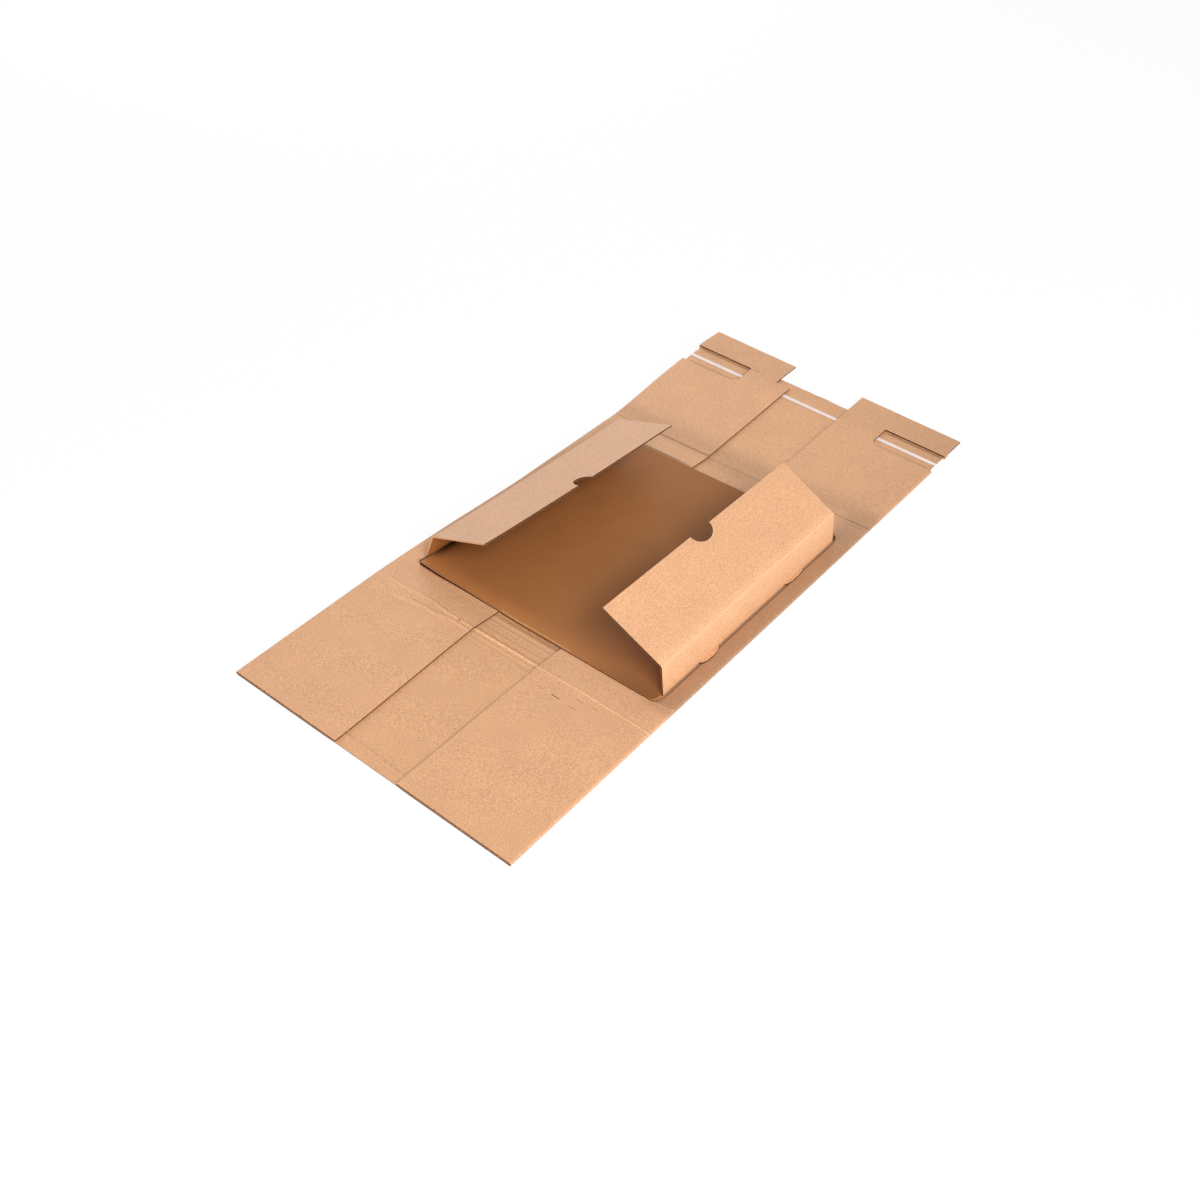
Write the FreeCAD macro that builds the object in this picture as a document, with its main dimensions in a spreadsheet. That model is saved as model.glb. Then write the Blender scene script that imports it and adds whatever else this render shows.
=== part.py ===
"""Book wrap mailer of corrugated board, lying open: a long outer wrap whose side margins are
folded in, a shallow tray glued across its middle, and an adhesive closure near its far end.

Frame: +Z up, +Y towards the closure end, +X to the right.  The origin is on the floor, under the
middle of the wrap's length and width.  Millimetres and degrees.
"""
import FreeCAD, Part
import math
import os
import re

import Sketcher
from FreeCAD import Placement, Rotation, Vector

SIZES = [
    ("board", 1.5, "thickness of the corrugated board"),
    ("ply_gap", 0.6, "air between the two layers of the folded wrap"),
    ("crease_radius", 1.0, "inside radius of the tray's folds"),
    ("wrap_width", 311, "outer wrap, fold to fold"),
    ("left_margin", 122.5, "left side margin, fold to free edge"),
    ("right_margin", 118.5, "right side margin, fold to free edge"),
    ("near_panel", 163, "free end to the near ridge crease"),
    ("near_spine", 26, "near ridge crease to the near foot crease"),
    ("front_clearance", 4, "near foot crease to the tray"),
    ("far_spine", 29, "tray to the far crease"),
    ("closure_panel", 157, "far crease to the lower layer's far edge"),
    ("tail", 26, "margin flaps past the lower layer's far edge"),
    ("tail_taper", 2, "how much each tail narrows on its outer side"),
    ("left_ridge", 4, "lift of the near ridge crease at the left fold"),
    ("right_ridge", 0.5, "lift of the near ridge crease at the right fold"),
    ("left_rise", 16, "lift of the closure end's left corner"),
    ("right_rise", 0.5, "lift of the closure end's right corner"),
    ("window_depth", 70.7, "closure windows, inward from the side folds"),
    ("window_near", 37, "lower layer's far edge to the windows' near side"),
    ("window_far", 6.7, "lower layer's far edge to the windows' far side"),
    ("window_corner", 9, "radius of the windows' inner near corner"),
    ("pull_depth", 2.5, "tear notches in the lower layer's edge"),
    ("pull_length", 10, "tear notches along the edge"),
    ("pull_near", 22, "lower layer's far edge to the tear notches' near side"),
    ("step_width", 17, "left tail set back from the middle gap"),
    ("step_length", 11, "left tail's set-back, before the lower layer's far edge"),
    ("strip_width", 4.6, "adhesive strip and its liner"),
    ("strip_near", 25.6, "lower layer's far edge to the strip's near edge"),
    ("strip_inset", 3, "strip's ends inside the side folds"),
    ("film_seat", 0.1, "clearance under the adhesive and again under its liner"),
    ("adhesive", 0.15, "thickness of the adhesive"),
    ("liner", 0.1, "thickness of the release liner"),
    ("score_radius", 0.9, "score lines, radius of the pressed groove"),
    ("score_depth", 0.35, "score lines, depth in the board"),
    ("score_pitch", 3.6, "distance between neighbouring score lines"),
    ("tray_length", 279, "tray base along the wrap"),
    ("tray_width", 268.6, "flat of the tray base between its foot folds"),
    ("tray_shift", 2, "tray's middle to the right of the wrap's middle"),
    ("front_shelf", 9.5, "tray base in front of the walls"),
    ("back_shelf", 9.5, "tray base behind the walls"),
    ("shelf_corner", 6, "radius of the tray base's corners"),
    ("wall", 28.8, "flat of a side wall between its folds"),
    ("flap", 64.6, "flat of a top flap from its fold to its free edge"),
    ("right_lean", 5, "right wall, inward from upright"),
    ("right_flap_angle", 29.6, "right flap above level"),
    ("left_lean_near", 22, "left wall at its near end, inward from upright"),
    ("left_lean_far", 35.5, "left wall at its far end, inward from upright"),
    ("left_flap_near", 18.7, "left flap above level at its near end"),
    ("left_flap_far", 16.5, "left flap above level at its far end"),
    ("thumb_radius", 10.5, "thumb notches in the flaps' free edges"),
    ("tongue_near", 71.5, "tray's front edge to the middle of the near tongues"),
    ("tongue_far", 203, "tray's front edge to the middle of the far tongues"),
    ("near_tongue_length", 31, "near tongues along the wall's foot"),
    ("far_tongue_length", 48, "far tongues along the wall's foot"),
    ("near_tongue_reach", 5, "near tongues past the wall's foot"),
    ("far_tongue_reach", 3.5, "far tongues past the wall's foot"),
]

doc = FreeCAD.newDocument("book_wrap_mailer")
sheet = doc.addObject("Spreadsheet::Sheet", "Sizes")
for row, (alias, number, meaning) in enumerate(SIZES, start=1):
    sheet.set(f"A{row}", meaning)
    sheet.set(f"B{row}", str(number))
    sheet.setAlias(f"B{row}", alias)
doc.recompute()

ALIASES = {alias for alias, number, meaning in SIZES}
BEND_STEPS = 5  # straight steps round each bend
LEAST_CUT = 0.1  # volume in mm3 below which a cut has missed
UPRIGHT = 0.9  # an upright edge rises by more than this share of its length


def bound(expression):
    """The expression with each size's name written as its cell in the sheet."""
    return re.sub("[a-z_]+", lambda word: f"Sizes.{word[0]}" if word[0] in ALIASES else word[0], expression)


def value(expression):
    """What the expression comes to with the sheet's present numbers."""
    number = sheet.evalExpression(bound(expression))
    return float(getattr(number, "Value", number))


def tie(target, prop, expression):
    """Bind one property of an object to an expression in the sheet's sizes."""
    target.setExpression(prop, bound(expression))


# Lines across the wrap, as distances from the tray's front edge, and heights above the floor.
FOOT_CREASE = "0 - front_clearance"
RIDGE = f"{FOOT_CREASE} - near_spine"
FREE_END = f"{RIDGE} - near_panel"
FAR_CREASE = "tray_length + far_spine"
LOWER_END = f"{FAR_CREASE} + closure_panel"
TAIL_END = f"{LOWER_END} + tail"
MIDDLE = f"( {FREE_END} + {TAIL_END} ) / 2"
MARGIN_UNDERSIDE = "board + ply_gap"
MARGIN_TOP = "2 * board + ply_gap"
FOLD_RADIUS = "board + ply_gap / 2"
THROUGH = "8 * board"
LEFT_SLIT = "wrap_width / 2 - left_margin"
RIGHT_SLIT = "wrap_width / 2 - right_margin"


def origin_plane(body, role):
    """One of the body's own origin planes, found by its role."""
    return next(feature for feature in body.Origin.OriginFeatures if feature.Role == role)


def new_sketch(body, name, role, x="0", y="0", z="0", turn_axis=Vector(0, 0, 1), turn="0"):
    """A sketch on one of the body's origin planes, set off and turned by tied expressions."""
    sketch = body.newObject("Sketcher::SketchObject", name)
    sketch.AttachmentSupport = [(origin_plane(body, role), "")]
    sketch.MapMode = "FlatFace"
    shift = Vector(value(x), value(y), value(z))
    sketch.AttachmentOffset = Placement(shift, Rotation(turn_axis, value(turn)))
    for axis, expression in zip("xyz", (x, y, z)):
        if expression != "0":
            tie(sketch, f"AttachmentOffset.Base.{axis}", expression)
    if turn != "0":
        tie(sketch, "AttachmentOffset.Rotation.Angle", turn)
    return sketch


def datum(sketch, kind, *where, size):
    """A dimension in a sketch, tied to an expression.  Angles are in degrees."""
    number = value(size)
    if kind == "Angle":
        number = math.radians(number)
    index = sketch.addConstraint(Sketcher.Constraint(kind, *where, number))
    tie(sketch, f"Constraints[{index}]", size)


def join(sketch, kind, *where):
    """A geometric constraint in a sketch."""
    sketch.addConstraint(Sketcher.Constraint(kind, *where))


def heading_vector(degrees):
    return Vector(math.cos(math.radians(degrees)), math.sin(math.radians(degrees)), 0)


def folded_path(legs, radius):
    """One face of a folded board as lengths and headings: flat legs, and short steps round each bend.

    Straight steps, unlike arcs, stay exactly ruled where a loft twists from section to section.
    """
    path = []
    for (length, heading), following in zip(legs, legs[1:] + [None]):
        path.append((length, heading))
        if following:
            turn = f"( {following[1]} - ( {heading} ) ) / {BEND_STEPS}"
            for step in range(BEND_STEPS):
                path.append((f"2 * ( {radius} ) * sin({turn} / 2)", f"{heading} + {turn} * {step + 0.5}"))
    return path


def folded_board(sketch, legs, base, inside_radius):
    """The cut edge of one board that folds to its left at each crease.

    Each leg is a flat length and a heading in degrees.  The base leg lies level and centred, its
    outer face on the sketch's origin.
    """
    base_line = base * (BEND_STEPS + 1)
    faces = []
    for radius, level in ((inside_radius, "board"), (f"{inside_radius} + board", "0")):
        path = folded_path(legs, radius)
        points = [Vector(0, 0, 0)]
        for length, heading in path:
            points.append(points[-1] + heading_vector(value(heading)) * value(length))
        middle = (points[base_line] + points[base_line + 1]) * 0.5
        shift = Vector(0, value(level), 0) - middle
        lines = []
        for first, second in zip(points, points[1:]):
            lines.append(sketch.addGeometry(Part.LineSegment(first + shift, second + shift)))
        for first, second in zip(lines, lines[1:]):
            join(sketch, "Coincident", first, 2, second, 1)
        for line, (length, heading) in zip(lines, path):
            datum(sketch, "Distance", line, size=length)
            if line != lines[base_line]:
                datum(sketch, "Angle", line, size=heading)
        join(sketch, "Symmetric", lines[base_line], 1, lines[base_line], 2, -2)
        if level == "0":
            join(sketch, "PointOnObject", lines[base_line], 1, -1)
        else:
            datum(sketch, "DistanceY", -1, 1, lines[base_line], 1, size=level)
        faces.append(lines)
    for line, point in ((0, 1), (-1, 2)):
        ends = [face[line] for face in faces]
        cut = sketch.addGeometry(Part.LineSegment(*(sketch.getPoint(end, point) for end in ends)))
        join(sketch, "Coincident", cut, 1, ends[0], point)
        join(sketch, "Coincident", cut, 2, ends[1], point)


def rectangle(sketch, left, right, bottom, top):
    """A closed box of lines between four tied sides."""
    across = [value(left), value(right), value(right), value(left)]
    upward = [value(bottom), value(bottom), value(top), value(top)]
    corners = [Vector(x, y, 0) for x, y in zip(across, upward)]
    sides = []
    for first, second in zip(corners, corners[1:] + corners[:1]):
        sides.append(sketch.addGeometry(Part.LineSegment(first, second)))
    for first, second in zip(sides, sides[1:] + sides[:1]):
        join(sketch, "Coincident", first, 2, second, 1)
    for side in sides[0::2]:
        join(sketch, "Horizontal", side)
    for side in sides[1::2]:
        join(sketch, "Vertical", side)
    datum(sketch, "DistanceX", -1, 1, sides[0], 1, size=left)
    datum(sketch, "DistanceX", -1, 1, sides[0], 2, size=right)
    datum(sketch, "DistanceY", -1, 1, sides[0], 1, size=bottom)
    datum(sketch, "DistanceY", -1, 1, sides[2], 1, size=top)


def ruled_loft(body, kind, name, sections):
    """A straight-sided loft, added to the body or cut from it, through sketched sections."""
    loft = body.newObject(f"PartDesign::{kind}Loft", name)
    loft.Profile = sections[0]
    loft.Sections = sections[1:]
    loft.Ruled = True
    for section in sections:
        section.Visibility = False
    doc.recompute()
    return loft


def check_cut(feature):
    """Stop if a cutting feature misses its body."""
    if feature.BaseFeature.Shape.Volume - feature.Shape.Volume < LEAST_CUT:
        raise RuntimeError(f"{feature.Name} cuts nothing")


def circle(sketch, across, upward, radius):
    """A circle about a tied centre, or about the sketch's origin where both are 0."""
    centre = Vector(value(across), value(upward), 0)
    ring = sketch.addGeometry(Part.Circle(centre, Vector(0, 0, 1), value(radius)))
    if across == upward == "0":
        join(sketch, "Coincident", ring, 3, -1, 1)
    else:
        datum(sketch, "DistanceX", -1, 1, ring, 3, size=across)
        datum(sketch, "DistanceY", -1, 1, ring, 3, size=upward)
    datum(sketch, "Radius", ring, size=radius)


def half_moon(sketch, side, foot, middle, length, reach):
    """A segment of a circle that stands out from a wall's foot, to the left (-1) or the right (1)."""
    radius = f"( ( {length} ) ^ 2 / 4 + ( {reach} ) ^ 2 ) / ( 2 * ( {reach} ) )"
    half_angle = math.asin(value(length) / 2 / value(radius))
    facing = 0 if side > 0 else math.pi
    chord_x = side * value(foot)
    centre = Vector(chord_x + side * (value(reach) - value(radius)), value(middle), 0)
    ring = Part.Circle(centre, Vector(0, 0, 1), value(radius))
    arc = sketch.addGeometry(Part.ArcOfCircle(ring, facing - half_angle, facing + half_angle))
    ends = [sketch.getPoint(arc, 1), sketch.getPoint(arc, 2)]
    chord = sketch.addGeometry(Part.LineSegment(*ends))
    join(sketch, "Coincident", chord, 1, arc, 1)
    join(sketch, "Coincident", chord, 2, arc, 2)
    join(sketch, "Vertical", chord)
    datum(sketch, "Radius", arc, size=radius)
    datum(sketch, "DistanceY", chord, *((1, chord, 2) if side > 0 else (2, chord, 1)), size=length)
    datum(sketch, "DistanceX", -1, 1, chord, 1, size=f"{side} * ( {foot} )")
    datum(sketch, "DistanceY", -1, 1, arc, 3, size=middle)


def add_pad(body, name, sketch, length):
    """A sketch raised by a tied length."""
    pad = body.newObject("PartDesign::Pad", name)
    pad.Profile = sketch
    pad.Length = value(length)
    tie(pad, "Length", length)
    sketch.Visibility = False
    doc.recompute()


def cut_through(body, name, sketch, length):
    """A sketch cut out of the body, half of the tied length to each side of its plane."""
    pocket = body.newObject("PartDesign::Pocket", name)
    pocket.Profile = sketch
    pocket.SideType = "Symmetric"
    pocket.Length = value(length)
    tie(pocket, "Length", length)
    sketch.Visibility = False
    doc.recompute()
    check_cut(pocket)


def round_edges(body, name, corners, radius):
    """Round the upright edges that stand at the given corners."""
    plain = body.Tip
    names = []
    for corner in corners:
        upright = []
        for number, edge in enumerate(plain.Shape.Edges, start=1):
            ends = [vertex.Point for vertex in edge.Vertexes]
            if len(ends) == 2 and abs(ends[0].z - ends[1].z) > UPRIGHT * edge.Length:
                gap = max(math.hypot(end.x - corner.x, end.y - corner.y) for end in ends)
                upright.append((gap, number))
        names.append(f"Edge{min(upright)[1]}")
    fillet = body.newObject("PartDesign::Fillet", name)
    fillet.Base = (plain, names)
    fillet.Radius = value(radius)
    tie(fillet, "Radius", radius)
    doc.recompute()


def station(body, name, along, left_lift="0", right_lift="0"):
    """A cross-section plane at a distance along the wrap, tipped to the lifts of the side folds.

    The plane looks back along Y, so its own depth runs against Y.
    """
    mean_lift = f"( {left_lift} + {right_lift} ) / 2"
    tilt = f"asin(( {right_lift} - {left_lift} ) / wrap_width)"
    flat = left_lift == right_lift == "0"
    return new_sketch(
        body, name, "XZ_Plane",
        y="0" if flat else mean_lift,
        z=f"0 - ( {along} )",
        turn="0" if flat else tilt,
    )


def closure_station(body, name, along):
    """A cross-section plane on the closure panel, which rises from the far crease and twists."""
    share = f"( {along} - ( {FAR_CREASE} ) ) / ( closure_panel + tail )"
    return station(body, name, along, f"left_rise * {share}", f"right_rise * {share}")


def new_body(label, x="0", z="0"):
    """A body whose own origin is at the tray's front edge, placed in the part's frame."""
    body = doc.addObject("PartDesign::Body", label)
    body.Label = label
    shift = f"0 - ( {MIDDLE} )"
    body.Placement.Base = Vector(value(x), value(shift), value(z))
    tie(body, "Placement.Base.y", shift)
    if x != "0":
        tie(body, "Placement.Base.x", x)
    if z != "0":
        tie(body, "Placement.Base.z", z)
    return body


def make_outer_wrap():
    """The long sheet: a lower layer with both side margins folded in on top of it."""
    body = new_body("outer_wrap")
    floor_leg = f"wrap_width - 2 * ( {FOLD_RADIUS} )"
    legs = [
        (f"left_margin - ( {FOLD_RADIUS} )", "180"),
        (floor_leg, "360"),
        (f"right_margin - ( {FOLD_RADIUS} )", "540"),
    ]
    stations = [
        station(body, "free_end_section", FREE_END),
        station(body, "ridge_section", RIDGE, "left_ridge", "right_ridge"),
        station(body, "foot_crease_section", FOOT_CREASE),
        station(body, "far_crease_section", FAR_CREASE),
        closure_station(body, "lower_end_section", LOWER_END),
    ]
    for section in stations:
        folded_board(section, legs, base=1, inside_radius="ply_gap / 2")
    doc.recompute()
    ruled_loft(body, "Additive", "folded_sheet", stations)

    outer_edge = f"wrap_width / 2 - ( {FOLD_RADIUS} )"
    for hand, side, inner_edge in (("left", -1, f"{LEFT_SLIT} + step_width"), ("right", 1, RIGHT_SLIT)):
        sections = []
        for place, along, outside in (
            ("root", LOWER_END, outer_edge),
            ("end", TAIL_END, f"{outer_edge} - tail_taper"),
        ):
            section = closure_station(body, f"{hand}_tail_{place}", along)
            edges = [f"{side} * ( {outside} )", f"{side} * ( {inner_edge} )"]
            rectangle(section, *edges[::side * -1], MARGIN_UNDERSIDE, MARGIN_TOP)
            sections.append(section)
        ruled_loft(body, "Additive", f"{hand}_tail", sections)

    half_gap = "board + ply_gap / 2"
    above = f"{MARGIN_TOP} + 2 * board"
    past_fold = "wrap_width / 2 + board"
    near_side = f"{LOWER_END} - window_near"
    far_side = f"{LOWER_END} - window_far"
    window_side = "wrap_width / 2 - window_depth"
    cuts = [
        ("left_window", near_side, far_side, f"0 - ( {past_fold} )", f"0 - ( {window_side} )"),
        ("right_window", near_side, far_side, window_side, past_fold),
        ("left_step", f"{LOWER_END} - step_length", f"{LOWER_END} + board",
         f"0 - ( {LEFT_SLIT} + step_width )", f"board - ( {LEFT_SLIT} )"),
    ]
    for name, near, far, left, right in cuts:
        sections = []
        for place, along in (("near", near), ("far", far)):
            section = closure_station(body, f"{name}_{place}", along)
            rectangle(section, left, right, half_gap, above)
            sections.append(section)
        check_cut(ruled_loft(body, "Subtractive", name, sections))

    corners = []
    for side in (-1, 1):
        corners.append(Vector(side * value(window_side), value(near_side), value(MARGIN_TOP)))
    round_edges(body, "window_corners", corners, "window_corner")

    notch_outline = new_sketch(body, "tear_notch_outlines", "XY_Plane")
    for left, right in (("0 - wrap_width", "pull_depth - wrap_width / 2"),
                        ("wrap_width / 2 - pull_depth", "wrap_width")):
        near = f"{LOWER_END} - pull_near"
        rectangle(notch_outline, left, right, near, f"{near} + pull_length")
    cut_through(body, "tear_notches", notch_outline, f"2 * ( left_rise + right_rise ) + {THROUGH}")

    scores = [FOOT_CREASE, FAR_CREASE, f"{FAR_CREASE} - score_pitch", f"{FAR_CREASE} - 2 * score_pitch"]
    middle = f"( {RIGHT_SLIT} - ( {LEFT_SLIT} ) ) / 2"
    gap = f"{LEFT_SLIT} + {RIGHT_SLIT}"
    for layer, surface, place, width in (("margin", MARGIN_TOP, "0", "wrap_width"),
                                         ("middle", "board", middle, gap)):
        outline = new_sketch(body, f"{layer}_score_outlines", "YZ_Plane", z=place)
        for along in scores:
            circle(outline, along, f"{surface} + score_radius - score_depth", "score_radius")
        cut_through(body, f"{layer}_scores", outline, width)


def make_inner_tray():
    """The tray: one board folded into a base, two side walls and two flaps that lean inward."""
    body = new_body("inner_tray", x="tray_shift", z=MARGIN_TOP)
    wall_ends = (
        ("near", "front_shelf", "left_lean_near", "left_flap_near"),
        ("far", "tray_length - back_shelf", "left_lean_far", "left_flap_far"),
    )
    sections = []
    for place, along, left_lean, left_flap in wall_ends:
        legs = [
            ("flap", f"180 + {left_flap}"),
            ("wall", f"270 - {left_lean}"),
            ("tray_width", "360"),
            ("wall", "450 + right_lean"),
            ("flap", "540 - right_flap_angle"),
        ]
        section = new_sketch(body, f"{place}_fold_section", "XZ_Plane", z=f"0 - ( {along} )")
        folded_board(section, legs, base=2, inside_radius="crease_radius")
        sections.append(section)
    ruled_loft(body, "Additive", "folded_walls", sections)
    doc.recompute()

    half = "tray_width / 2 + crease_radius + board"
    shelves = new_sketch(body, "shelf_outlines", "XY_Plane")
    rectangle(shelves, f"0 - ( {half} )", half, "0", "front_shelf")
    rectangle(shelves, f"0 - ( {half} )", half, "tray_length - back_shelf", "tray_length")
    add_pad(body, "shelves", shelves, "board")
    corners = []
    for along in ("0", "tray_length"):
        corners.append(Vector(-value(half), value(along), value("board")))
        corners.append(Vector(value(half), value(along), value("board")))
    round_edges(body, "shelf_corners", corners, "shelf_corner")

    foot = "tray_width / 2 + crease_radius"
    tongues = new_sketch(body, "tongue_outlines", "XY_Plane")
    for side in (-1, 1):
        for end in ("near", "far"):
            half_moon(tongues, side, foot, f"tongue_{end}", f"{end}_tongue_length", f"{end}_tongue_reach + board")
    add_pad(body, "tongues", tongues, "board")

    notch_at = "( front_shelf + tray_length - back_shelf ) / 2"
    left_lean = "( left_lean_near + left_lean_far ) / 2"
    left_angle = "( left_flap_near + left_flap_far ) / 2"
    for hand, side, lean, angle in (("left", -1, left_lean, left_angle),
                                    ("right", 1, "right_lean", "right_flap_angle")):
        inward = f"wall * sin({lean}) + flap * cos({angle}) - crease_radius * sin({angle})"
        upward = f"wall * cos({lean}) + flap * sin({angle}) + crease_radius * ( 1 + cos({angle}) )"
        outline = new_sketch(
            body, f"{hand}_notch_outline", "XY_Plane",
            x=f"{side} * ( tray_width / 2 - ( {inward} ) )",
            y=notch_at,
            z=f"board + {upward}",
            turn_axis=Vector(0, 1, 0),
            turn=f"{side} * {angle}",
        )
        circle(outline, "0", "0", "thumb_radius")
        cut_through(body, f"{hand}_thumb_notch", outline, THROUGH)


def make_strip(label, underside, thickness):
    """A flat strip across the closure panel's lower layer, under the windows and the middle gap."""
    body = new_body(label)
    near = f"{LOWER_END} - strip_near"
    end = "wrap_width / 2 - strip_inset"
    sections = []
    for place, along in (("near", near), ("far", f"{near} + strip_width")):
        section = closure_station(body, f"{label}_{place}", along)
        rectangle(section, f"0 - ( {end} )", end, underside, f"{underside} + {thickness}")
        sections.append(section)
    ruled_loft(body, "Additive", f"{label}_loft", sections)


def main():
    make_outer_wrap()
    make_inner_tray()
    make_strip("adhesive_strip", "board + film_seat", "adhesive")
    make_strip("release_liner", "board + adhesive + 2 * film_seat", "liner")
    doc.recompute()


main()
os.makedirs("parts", exist_ok=True)
for item in doc.Objects:
    if "Invalid" in item.State or "Error" in item.State:
        raise RuntimeError(f"{item.Name} failed: {item.State}")
for body in doc.findObjects("PartDesign::Body"):
    if body.Shape.isNull() or not body.Shape.isValid():
        raise RuntimeError(f"{body.Label} has no valid shape")
    body.Shape.exportStep(f"parts/{body.Label}.step")
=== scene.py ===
"""Book wrap mailer of corrugated board, lying open, dressed for rendering.

Laid out as an add-on: each sheet of board is cut flat as a grid, given its thickness, pierced, and
then folded and laid down point by point over its solid in the frame.
"""
import math

import bpy
from bpy.props import FloatProperty, FloatVectorProperty, PointerProperty, StringProperty
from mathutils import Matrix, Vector, noise


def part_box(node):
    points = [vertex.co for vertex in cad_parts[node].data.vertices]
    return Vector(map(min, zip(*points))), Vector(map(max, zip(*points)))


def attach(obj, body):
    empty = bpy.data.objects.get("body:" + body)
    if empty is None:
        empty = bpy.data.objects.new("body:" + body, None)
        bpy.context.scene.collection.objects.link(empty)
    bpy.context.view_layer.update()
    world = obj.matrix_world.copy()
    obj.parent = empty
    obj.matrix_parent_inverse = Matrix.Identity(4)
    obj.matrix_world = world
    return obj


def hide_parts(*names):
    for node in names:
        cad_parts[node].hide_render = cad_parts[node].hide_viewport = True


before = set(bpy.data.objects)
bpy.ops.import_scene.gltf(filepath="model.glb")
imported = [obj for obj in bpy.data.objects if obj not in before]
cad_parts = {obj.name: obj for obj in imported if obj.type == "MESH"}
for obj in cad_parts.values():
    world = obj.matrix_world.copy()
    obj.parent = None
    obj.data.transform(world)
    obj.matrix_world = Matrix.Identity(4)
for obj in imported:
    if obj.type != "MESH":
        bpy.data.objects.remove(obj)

bl_info = {
    "name": "Book Wrap Mailer",
    "version": (1, 0, 0),
    "blender": (4, 5, 0),
    "location": "View3D > Sidebar > Mailer",
    "description": "Builds an open book wrap mailer of corrugated board and its studio stage",
    "category": "Object",
}

MM = 0.001
WRAP_LOW, WRAP_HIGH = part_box("outer_wrap")
LINER_LOW, LINER_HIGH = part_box("release_liner")
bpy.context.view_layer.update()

# Distances along the mailer are counted from the tray's front edge, towards the closure.
TRAY_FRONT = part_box("inner_tray")[0].y
FREE_END = WRAP_LOW.y - TRAY_FRONT
TAIL_END = WRAP_HIGH.y - TRAY_FRONT
HALF_WIDTH = (WRAP_HIGH.x - WRAP_LOW.x) / 2

OVER = 1 * MM  # How far a cutter reaches past what it cuts.
SMOOTH_UNDER = math.radians(35)  # Edges that turn by less than this are shaded smooth.
OUTER, INNER, CUT = range(3)  # Slots of a sheet's papers and its cut edges.
FAINT = 0.1  # How strongly the washboard shows where it hardly does.
# How far paper can be painted dark with shade or pale with light; 0 leaves it as it is.
DARKEST, BRIGHTEST = -3.6, 2.8


def length(name, description, millimetres):
    """A size in the sidebar, given in millimetres and kept in metres."""
    return FloatProperty(
        name=name, description=description, default=millimetres * MM, min=0.0,
        unit="LENGTH", precision=5,
    )


def angle(name, description, degrees):
    """An angle in the sidebar, given in degrees and kept in radians."""
    return FloatProperty(
        name=name, description=description, default=math.radians(degrees),
        subtype="ANGLE", unit="ROTATION",
    )


def paint(name, description, hex_colour):
    """An sRGB colour in the sidebar, as a hex string."""
    return StringProperty(name=name, description=description, default=hex_colour)


class MailerBoard(bpy.types.PropertyGroup):
    """What both sheets are cut from."""
    thickness: length("Thickness", "Thickness of the corrugated board", 1.5)
    gap: length("Ply gap", "Air between the two layers of the folded wrap", 0.6)
    flute: length("Flute pitch", "Distance from one flute of the board to the next", 3.3)
    outer_paper: paint("Outer paper", "Colour of the board's outer paper", "#DEA97F")
    inner_paper: paint("Inner paper", "Colour of the wrap's inner paper", "#DDA87D")
    # Painted shade: the tray's inside is the wrap's own kraft, drawn darker and browner as if in
    # shade.
    tray_paper_in_shade: paint("Tray paper", "Colour of the tray's inner paper", "#9E6435")
    fibre: paint("Fibre", "Colour of the dark fibres in the paper", "#A9774E")
    flute_paper: paint("Flute paper", "Colour of the paper between the two faces", "#8A5A38")
    hollow: paint("Hollows", "Colour of the shaded hollows between the flutes", "#25160C")


class MailerWrap(bpy.types.PropertyGroup):
    """The long outer sheet."""
    left_margin: length("Left margin", "Left side margin, fold to free edge", 122.5)
    right_margin: length("Right margin", "Right side margin, fold to free edge", 118.5)
    near_panel: length("Near panel", "Free end to the ridge crease", 163)
    near_spine: length("Near spine", "Ridge crease to the foot crease", 26)
    tail: length("Tails", "Length of the margin flaps past the lower layer", 26)
    closure: length("Closure panel", "Far crease to the lower layer's far edge", 157)
    window_depth: length("Window depth", "Closure windows, inward from the side folds", 70.7)
    window_near: length("Window near side", "Lower layer's far edge to the windows' near side", 37)
    window_far: length("Window far side", "Lower layer's far edge to the windows' far side", 6.7)
    window_corner: length("Window corner", "Radius of the windows' inner near corner", 9)
    left_ridge: length("Ridge lift, left", "Lift of the ridge crease at the left fold", 3.7)
    right_ridge: length("Ridge lift, right", "Lift of the ridge crease at the right fold", 0.3)
    front_lift: length("Front lift", "Lift of the left fold beside the tray's front edge", 3.6)
    waist: length("Waist", "How far the left side is drawn in beside the tray", 2.0)
    left_rise: length("Closure rise, left", "Lift of the closure end's left corner", 16)
    right_rise: length("Closure rise, right", "Lift of the closure end's right corner", 0.4)


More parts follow.
